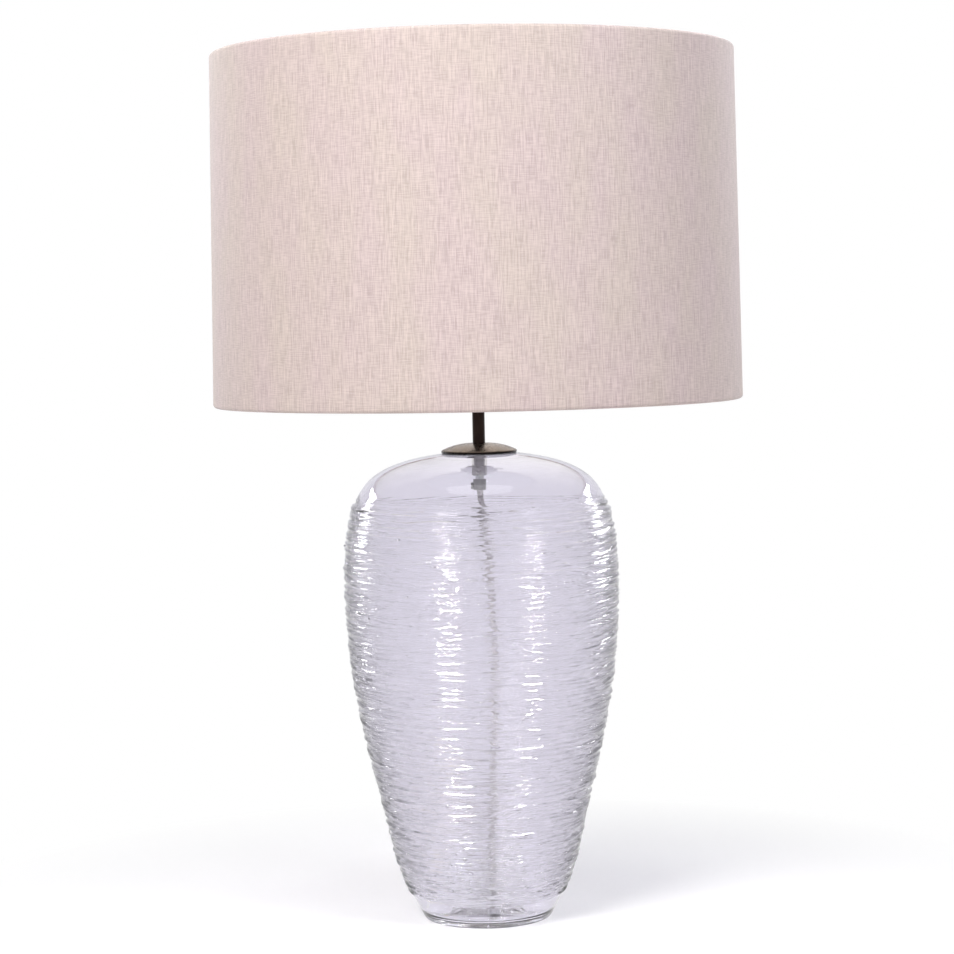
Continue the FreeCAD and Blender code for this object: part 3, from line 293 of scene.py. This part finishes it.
def spline_through(points):
    """Natural cubic spline by chord length, as close points and their distances along it."""
    p = np.array(points, float)
    t = np.concatenate([[0], np.cumsum(np.hypot(*np.diff(p, axis=0).T))])
    n = len(t)
    h = np.diff(t)
    a = np.eye(n)
    b = np.zeros((n, 2))
    for i in range(1, n - 1):
        a[i, i - 1:i + 2] = h[i - 1], 2 * (h[i - 1] + h[i]), h[i]
        b[i] = 6 * ((p[i + 1] - p[i]) / h[i] - (p[i] - p[i - 1]) / h[i - 1])
    m = np.linalg.solve(a, b)

    def at(x):
        k = np.clip(np.searchsorted(t, x) - 1, 0, n - 2)
        u = (t[k + 1] - x)[:, None]
        v = (x - t[k])[:, None]
        w = h[k][:, None]
        return (m[k] * u ** 3 + m[k + 1] * v ** 3) / (6 * w) + (p[k] / w - m[k] * w / 6) * u \
            + (p[k + 1] / w - m[k + 1] * w / 6) * v

    fine_t = np.linspace(0, t[-1], SPLINE_POINTS)
    fine = at(fine_t)
    run = np.concatenate([[0], np.cumsum(np.hypot(*np.diff(fine, axis=0).T))])
    return fine, run


# --- vase ---------------------------------------------------------------------------------------

VASE_PROFILE = [(63.1, 2.6), (69.6, 15.0), (80.6, 38.7), (94.9, 92.6), (113.3, 170.9), (126.7, 248.2),
                (131.3, 323.5), (126.3, 386.6), (109.5, 423.8), (74.1, 443.4), (37.6, 450.5)]
VASE_TOP = VASE_PROFILE[-1][1]
VASE_WALL = 4.0
VASE_FLOOR = 5.4
FLOOR_CORNER = 9.0              # rounding inside, between the wall and the floor
MOUTH_R = 30
LIP_R = 1.98
PINHOLE_R = 0.6                 # the surface is closed as a ring round a pinhole in the foot
UNDER_FOOT = [(PINHOLE_R, 1.4), (4, 1.37), (12, 1.05), (20, 0.42), (24, 0), (26, 0), (45, 0), (58, 0),
              (60.3, 0), (61.5, 0.35), (62.3, 1.1), (62.75, 1.9)]
WOUND_LOW, WOUND_HIGH = 24.0, 408.5
COLUMNS = 140
FOOT_ROWS, WOUND_ROWS, NECK_ROWS = 22, 556, 34
RELIEF_LIMIT = 2.75
STRANDS = 260
DROPS = 40
DROPS_LOW, DROPS_HIGH = 40.0, 400.0
DROP_TOP = 2.9                  # height of a drop's top over the smooth glass


def unit_normals(points):
    d = np.gradient(points, axis=0)
    d /= np.hypot(d[:, 0], d[:, 1])[:, None]
    return np.stack([d[:, 1], -d[:, 0]], axis=1)


def wave(u, seed, parts):
    """Sum of slow sines of the turn number u, the same whenever the script is run."""
    rng = np.random.default_rng(seed)
    total = np.zeros_like(u)
    for rate, size in parts:
        total += size * np.sin(2 * np.pi * rate * u + rng.uniform(0, 2 * np.pi))
    return total


def values_at(runs, run, pairs):
    """Pairs of values along the profile, read off at these distances along it."""
    return np.stack([np.interp(runs, run, pairs[:, c]) for c in (0, 1)], axis=1)


def fade(centre, run_low, run_high):
    """1 in the wound part of the vase, falling to 0 over its two ends."""
    return np.clip((run_high + 2 - centre) / 6, 0, 1) * np.clip((centre - run_low + 2) / 6, 0, 1)


def trail_relief(runs, run_low, run_high):
    """Height in mm of the trails at each (row, column) over the glass, by distance along the profile."""
    relief = np.zeros((len(runs), COLUMNS))
    families = [  # loops, sway in mm by rate, half width, height, seed
        (150, [(0.37, 1.5), (1.13, 0.9), (2.71, 0.7), (5.3, 0.5), (11.3, 0.45), (22.7, 0.2)], 1.05, 1.4, 3),
        (46, [(0.61, 3.8), (1.7, 2.6), (3.3, 1.3), (9.1, 0.8)], 1.3, 1.7, 8),
        (9, [(0.45, 11.0), (1.37, 8.0), (2.6, 4.0), (6.3, 1.5)], 1.35, 1.7, 21)]
    span = run_high - run_low
    for loops, sway, half_width, height, seed in families:
        for column in range(COLUMNS):
            u = np.arange(-2, loops + 3) + column / COLUMNS
            centre = run_high - span * u / loops + wave(u, seed, sway)
            wide = half_width * (1 + 0.3 * wave(u, seed + 1, [(0.83, 0.5), (2.3, 0.5), (4.9, 0.4)]))
            tall = height * (1 + 0.45 * wave(u, seed + 2, [(0.57, 0.5), (1.9, 0.5), (4.3, 0.5)]))
            edge = fade(centre, run_low, run_high)
            away = (runs[:, None] - centre[None, :]) / wide[None, :]
            form = np.clip(1 - away ** 2, 0, 1) ** 0.8 * (np.clip(tall, 0.25, 2.4) * edge)[None, :]
            relief[:, column] = (relief[:, column] ** 3 + (form ** 3).sum(axis=1)) ** (1 / 3)
    # short strands that fell across the others
    rng = np.random.default_rng(5)
    for _ in range(STRANDS):
        first = rng.integers(0, COLUMNS)
        count = int(rng.uniform(6, 26))
        start = rng.uniform(run_low + 14, run_high - 10)
        lean = rng.normal(0, 0.45)
        curl = rng.normal(0, 0.018)
        wide, tall = rng.uniform(0.9, 1.3), rng.uniform(0.9, 1.8)
        for k in range(count):
            centre = start + lean * k + curl * k * k
            ends = min(1, k / 3, (count - 1 - k) / 3)
            edge = fade(centre, run_low, run_high)
            form = np.clip(1 - ((runs - centre) / wide) ** 2, 0, 1) ** 0.8 * tall * ends * edge
            column = (first + k) % COLUMNS
            relief[:, column] = (relief[:, column] ** 3 + form ** 3) ** (1 / 3)
    return np.minimum(relief, RELIEF_LIMIT)


def vase_glass():
    """Smooth blown vase with the trails as relief on its outside."""
    fine, run = spline_through(VASE_PROFILE)
    normals = unit_normals(fine)
    low, high = (np.interp(z, fine[:, 1], run) for z in (WOUND_LOW, WOUND_HIGH))
    outer_runs = np.concatenate([np.linspace(0, low, FOOT_ROWS, endpoint=False),
                                 np.linspace(low, high, WOUND_ROWS, endpoint=False),
                                 np.linspace(high, run[-1], NECK_ROWS)])
    outer = values_at(outer_runs, run, fine)
    out = values_at(outer_runs, run, normals)
    out /= np.hypot(out[:, 0], out[:, 1])[:, None]
    relief = trail_relief(outer_runs, low, high)
    # inside: the lip, down the wall, a rounded corner and the floor; then the ground recess below
    lip = [(MOUTH_R + LIP_R, VASE_TOP)]
    lip += [(MOUTH_R + LIP_R - LIP_R * math.sin(a), VASE_TOP - LIP_R + LIP_R * math.cos(a))
            for a in (0.5, 1.05, 1.5708)]
    corner_z = VASE_FLOOR + FLOOR_CORNER
    inside_runs = np.linspace(run[-1], np.interp(corner_z, fine[:, 1], run), NECK_ROWS)
    inside = values_at(inside_runs, run, fine - normals * VASE_WALL)
    corner_x = inside[-1, 0] - FLOOR_CORNER
    corner = [(corner_x + FLOOR_CORNER * math.cos(a), corner_z - FLOOR_CORNER * math.sin(a))
              for a in (0.32, 0.65, 0.98, 1.3, 1.5708)]
    level = [(r, VASE_FLOOR) for r in (40, 20, 4, PINHOLE_R)]
    plain = np.array(lip + [tuple(p) for p in inside] + corner + level + UNDER_FOOT)
    angles = np.arange(COLUMNS) * 2 * np.pi / COLUMNS
    rings = []
    for k in range(len(outer)):
        r = outer[k, 0] + out[k, 0] * relief[k]
        z = outer[k, 1] + out[k, 1] * relief[k]
        rings.append(np.stack([r * np.cos(angles), r * np.sin(angles), z], axis=1))
    for r, z in plain:
        rings.append(np.stack([r * np.cos(angles), r * np.sin(angles), np.full(COLUMNS, z)], axis=1))
    vertices = np.concatenate(rings) * MM
    made = mesh_piece("vase_blown_glass", vertices, grid_faces(len(rings), COLUMNS), GLASS)
    return made, fine, run


def glass_drops(fine, run):
    """Small drops of glass where the trails were started, broken off and crossed."""
    rng = np.random.default_rng(12)
    normals = unit_normals(fine)
    ball = bmesh.new()
    bmesh.ops.create_icosphere(ball, subdivisions=2, radius=1)
    form = np.array([v.co[:] for v in ball.verts])
    sides = np.array([[v.index for v in f.verts] for f in ball.faces])
    ball.free()
    low, high = (np.interp(z, fine[:, 1], run) for z in (DROPS_LOW, DROPS_HIGH))
    vertices, faces = [], []
    for k in range(DROPS):
        at_run = rng.uniform(low, high)
        angle = rng.uniform(0, 2 * np.pi)
        size = rng.uniform(0.7, 1.4)
        length = size * rng.uniform(1.2, 3.2)
        lean = rng.normal(0, 0.12)
        r, z = (np.interp(at_run, run, fine[:, c]) for c in (0, 1))
        nr, nz = (np.interp(at_run, run, normals[:, c]) for c in (0, 1))
        out = np.array([nr * math.cos(angle), nr * math.sin(angle), nz])
        side = np.array([-math.sin(angle), math.cos(angle), 0])
        rise = np.cross(out, side)
        along = side * math.cos(lean) + rise * math.sin(lean)
        across = np.cross(out, along)
        centre = np.array([r * math.cos(angle), r * math.sin(angle), z]) + out * (DROP_TOP - size)
        drop = centre + form[:, :1] * along * length + form[:, 1:2] * across * size + form[:, 2:] * out * size
        faces.append(sides + len(form) * k)
        vertices.append(drop * MM)
    return mesh_piece("glass_drops", np.concatenate(vertices), np.concatenate(faces), GLASS)


vase, VASE_FINE, VASE_RUN = vase_glass()
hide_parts("vase_glass", "glass_trail")
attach(vase, "base")
drops = glass_drops(VASE_FINE, VASE_RUN)
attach(drops, "base")


# --- shade --------------------------------------------------------------------------------------

SHADE_COLUMNS = 288
SHADE_LOW, SHADE_HIGH = 500.3, 834.5
SHADE_BOTTOM_R, SHADE_TOP_R = 254.0, 249.6
FABRIC_T = 0.6
HEM = 3.15                      # outer radius of the rolled edges
HEM_H = 8.0
SIDE_ROWS = 40
SEAM_HALF_W = 6.5
SEAM_LIFT, SEAM_SUNK = 0.62, 0.2


def arc_points(cx, cz, r, first, last, steps):
    return [(cx + r * math.cos(a), cz + r * math.sin(a))
            for a in np.linspace(math.radians(first), math.radians(last), steps)]


def revolved(name, profile, columns, paint):
    angles = np.arange(columns) * 2 * np.pi / columns
    rings = [np.stack([r * np.cos(angles), r * np.sin(angles), np.full(columns, z)], axis=1)
             for r, z in profile]
    obj = mesh_piece(name, np.concatenate(rings) * MM, grid_faces(len(profile), columns), paint)
    obj.data.set_sharp_from_angle(angle=SHARP_ANGLE)
    return obj


def shade_linen():
    """The cloth, with both edges rolled over the wires."""
    low = SHADE_LOW + HEM
    high = SHADE_HIGH - HEM
    b = SHADE_BOTTOM_R
    t = SHADE_TOP_R
    small = HEM - FABRIC_T
    profile = [(b + (t - b) * k / SIDE_ROWS, low + (high - low) * k / SIDE_ROWS) for k in range(SIDE_ROWS)]
    profile += arc_points(t - HEM, high, HEM, 0, 180, 13)
    profile += [(t - 2 * HEM, high - HEM_H), (t - 2 * HEM + FABRIC_T, high - HEM_H)]
    profile += arc_points(t - HEM, high, small, 180, 0, 11)
    profile += arc_points(b - HEM, low, small, 0, -180, 11)
    profile += [(b - 2 * HEM + FABRIC_T, low + HEM_H), (b - 2 * HEM, low + HEM_H)]
    profile += arc_points(b - HEM, low, HEM, 180, 348, 13)
    return revolved("shade_linen", profile, SHADE_COLUMNS, LINEN)


def shade_seam():
    """Lapped edge of the cloth up the back of the shade."""
    rows, across = 24, 7
    vertices = []
    for side in (0, 1):
        for k in range(rows + 1):
            f = k / rows
            z = SHADE_LOW + HEM + (SHADE_HIGH - SHADE_LOW - 2 * HEM) * f
            r = SHADE_BOTTOM_R + (SHADE_TOP_R - SHADE_BOTTOM_R) * f
            for j in range(across):
                s = j / (across - 1) * 2 - 1
                a = math.pi / 2 + s * SEAM_HALF_W / r
                lift = SEAM_LIFT * (1 - abs(s) ** 6) if side else -SEAM_SUNK
                vertices.append(((r + lift) * math.cos(a) * MM, (r + lift) * math.sin(a) * MM, z * MM))
    per_side = (rows + 1) * across
    faces = []
    for k in range(rows):
        for j in range(across - 1):
            a = k * across + j
            faces.append((a, a + across, a + across + 1, a + 1))
            faces.append(tuple(per_side + v for v in (a, a + 1, a + across + 1, a + across)))
        for j in (0, across - 1):
            a = k * across + j
            edge = (a, a + across, per_side + a + across, per_side + a)
            faces.append(edge if j else edge[::-1])
    for k in (0, rows):
        for j in range(across - 1):
            a = k * across + j
            edge = (a, a + 1, per_side + a + 1, per_side + a)
            faces.append(edge if k == 0 else edge[::-1])
    return mesh_piece("shade_back_seam", vertices, faces, LINEN)


shade = shade_linen()
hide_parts("shade_fabric")
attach(shade, "shade")
seam = shade_seam()
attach(seam, "shade")


# --- flex ---------------------------------------------------------------------------------------

FLEX_R = 3.0
INNER_ROUTE = [(0, 0, 420.0), (1.0, -0.4, 398), (6.2, -4, 362), (10.2, -9, 306), (12.3, -14, 240),
               (8.8, -18, 170), (6.0, -19.5, 106), (5.0, -17, 62), (4.8, -11.5, 36), (4.6, -1, 21),
               (4.3, 12.7, 12.8), (4.0, 28.6, 10.9), (4.0, 45.2, 15.0), (5.2, 59.2, 15.0)]
LEAD_ROUTE = [(8.3, 94.9, 15.0), (9.6, 110.0, 15.0), (16.5, 123.8, 13.0), (32.1, 137.8, 6.9),
              (38.8, 153.3, 4.2), (38.8, 170.0, 4.2)]
PLUG_ROUTE = [(38.8, 182.0, 24.0), (38.8, 193.9, 24.0), (35.4, 206.8, 21.5), (28.5, 217.4, 16.7),
              (18.1, 224.7, 11.5), (5.3, 228.3, 8.6), (-8.0, 228.3, 8.6)]
COIL_X, COIL_Y = -2.7, 176.0
COIL_MID_R = 35.6
COIL_STEP = 6.6
COIL_LAYER_QUARTERS = [6, 5, 5, 6]
COIL_CLIMB_QUARTERS = 2
COIL_FIRST_Z = 4.2
COIL_STEPS_A_TURN = 12


def coil_marks():
    """Radius at each quarter turn of the put-away coil, and the quarter where each climb starts."""
    rate = COIL_STEP / 4
    sweep = COIL_LAYER_QUARTERS[0] + COIL_CLIMB_QUARTERS / 2
    radii = [COIL_MID_R + rate * sweep / 2]
    climbs = []
    inwards = True
    for k, quarters in enumerate(COIL_LAYER_QUARTERS):
        before = COIL_CLIMB_QUARTERS // 2 if k > 0 else 0
        after = COIL_CLIMB_QUARTERS // 2 if k < len(COIL_LAYER_QUARTERS) - 1 else 0
        for _ in range(before + quarters + after):
            radii.append(radii[-1] + (-rate if inwards else rate))
        if after:
            climbs.append(len(radii) - 1 - after)
        inwards = not inwards
    return radii, climbs


def coil_route():
    """Corners of a many-sided coil whose sides touch the flex's centre line."""
    radii, climbs = coil_marks()
    step = 2 * math.pi / COIL_STEPS_A_TURN
    corners = []
    for k in range((len(radii) - 1) * COIL_STEPS_A_TURN // 4):
        angle = step * (k + 0.5)
        quarter = angle / (math.pi / 2)
        i = int(quarter)
        r = (radii[i] + (radii[i + 1] - radii[i]) * (quarter - i)) / math.cos(step / 2)
        z = COIL_FIRST_Z
        for start in climbs:
            s = min(max((quarter - start) / COIL_CLIMB_QUARTERS, 0), 1)
            z += COIL_STEP * s * s * (3 - 2 * s)
        corners.append((COIL_X + r * math.cos(angle), COIL_Y + r * math.sin(angle), z))
    return corners


def flex(name, points):
    data = bpy.data.curves.new(name, "CURVE")
    data.dimensions = "3D"
    data.bevel_depth = FLEX_R * MM
    data.bevel_resolution = 5
    data.resolution_u = 8
    data.use_fill_caps = True
    run = data.splines.new("NURBS")
    run.points.add(len(points) - 1)
    for point, (x, y, z) in zip(run.points, points):
        point.co = (x * MM, y * MM, z * MM, 1)
    run.order_u = 3
    run.use_endpoint_u = True
    data.materials.append(FINISHES["silver_flex"].material)
    obj = bpy.data.objects.new(name, data)
    scene.collection.objects.link(obj)
    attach(obj, "base")
    return obj


inner_flex = flex("flex_in_vase", INNER_ROUTE)
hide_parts("flex_inside")
outer_flex = flex("flex_outside", LEAD_ROUTE + coil_route() + PLUG_ROUTE)
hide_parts("flex_lead", "flex_coil", "flex_to_plug")


# --- floor, surroundings and light --------------------------------------------------------------

THROUGH = (0.77, 0.745, 0.835)
FLOOR_HALF = 14
FLOOR_Z = -0.0002


def far_white(paint):
    """Away from the lamp the floor fades into the white surroundings; near it, it keeps the shadow."""
    path = paint.node("ShaderNodeLightPath")
    length = paint.node("ShaderNodeVectorMath", operation="LENGTH")
    paint.link(paint.place(), length.inputs[0])
    for_camera = paint.math("MULTIPLY", path.outputs["Is Camera Ray"],
                            paint.remap(length.outputs["Value"], 0.22, 0.6, 0, 1))
    by_lamp = paint.math("MAXIMUM", path.outputs["Is Transmission Ray"], path.outputs["Is Glossy Ray"])
    for_glass = paint.math("MULTIPLY", by_lamp,
                           paint.remap(length.outputs["Value"], 0.02, 0.07, 0, 1))
    white = paint.node("ShaderNodeEmission")
    paint.link(paint.colors(path.outputs["Is Transmission Ray"], (1, 1, 1), THROUGH), white.inputs["Color"])
    blend = paint.node("ShaderNodeMixShader")
    paint.link(paint.math("MAXIMUM", for_camera, for_glass), blend.inputs[0])
    paint.link(paint.shader.outputs[0], blend.inputs[1])
    paint.link(white.outputs[0], blend.inputs[2])
    paint.link(blend.outputs[0], paint.tree.nodes["Material Output"].inputs["Surface"])


def floor():
    paint = Paint("studio_floor", (0.93, 0.93, 0.935), 0.9)
    grain = paint.noise(paint.place(), 60, 2.0)
    paint.feed("Base Color", paint.colors(grain, (0.925, 0.925, 0.93), (0.935, 0.935, 0.94)))
    corners = [(x * FLOOR_HALF, y * FLOOR_HALF, FLOOR_Z) for x, y in ((-1, -1), (1, -1), (1, 1), (-1, 1))]
    far_white(paint)
    plane = mesh_piece("studio_floor", corners, [(0, 1, 2, 3)], paint, smooth=False)


def surroundings():
    """White for the camera, with other tones in reflections and through the glass, and grey as a light."""
    world = bpy.data.worlds.new("studio")
    scene.world = world
    world.use_nodes = True
    tree = world.node_tree
    tree.nodes.clear()
    path = tree.nodes.new("ShaderNodeLightPath")
    result = None
    for ray, color, strength in ((None, (0.93, 0.92, 1.0), 0.48), ("Is Glossy Ray", (0.95, 0.95, 1.0), 0.95),
                                 ("Is Transmission Ray", THROUGH, 1.0), ("Is Camera Ray", (1, 1, 1), 1.0)):
        tone = tree.nodes.new("ShaderNodeBackground")
        tone.inputs["Color"].default_value = (*color, 1)
        tone.inputs["Strength"].default_value = strength
        if result is None:
            result = tone.outputs[0]
            continue
        mix = tree.nodes.new("ShaderNodeMixShader")
        tree.links.new(path.outputs[ray], mix.inputs[0])
        tree.links.new(result, mix.inputs[1])
        tree.links.new(tone.outputs[0], mix.inputs[2])
        result = mix.outputs[0]
    tree.links.new(result, tree.nodes.new("ShaderNodeOutputWorld").inputs[0])


def soft_box(name, place, target, size, power, color=(1, 1, 1), lights="all"):
    """Area light. It can be kept to the matt surfaces or to the reflections."""
    data = bpy.data.lights.new(name, "AREA")
    data.shape = "RECTANGLE"
    data.size, data.size_y = size
    data.energy = power
    data.color = color
    obj = bpy.data.objects.new(name, data)
    scene.collection.objects.link(obj)
    obj.location = place
    obj.rotation_euler = (Vector(target) - Vector(place)).to_track_quat("-Z", "Y").to_euler()
    obj.visible_diffuse = lights != "glossy"
    obj.visible_glossy = lights != "matt"


floor()
surroundings()
soft_box("key_left", (-0.95, -1.6, 1.7), (0, 0, 0.7), (0.8, 1.2), 29, (1.0, 0.965, 0.925), "matt")
soft_box("fill_right", (1.5, -1.25, 1.45), (0, 0, 0.65), (0.6, 1.1), 12.5, (0.94, 0.94, 1.0), "matt")
soft_box("top", (0.0, -0.6, 2.3), (0, 0, 0.4), (1.4, 1.4), 16, (1, 1, 1), "matt")
soft_box("window_left", (-1.1, -1.65, 2.25), (0, 0, 0.25), (0.7, 0.5), 300, (1, 1, 1), "glossy")
soft_box("window_right", (1.55, -1.2, 2.2), (0, 0, 0.25), (0.6, 0.5), 170, (1, 1, 1), "glossy")
soft_box("back_left", (-1.4, 1.45, 1.5), (0, 0, 0.35), (0.7, 0.8), 45, (1, 1, 1), "glossy")
soft_box("back_right", (1.4, 1.45, 1.5), (0, 0, 0.35), (0.7, 0.8), 45, (1, 1, 1), "glossy")
scene.view_settings.view_transform = "Standard"
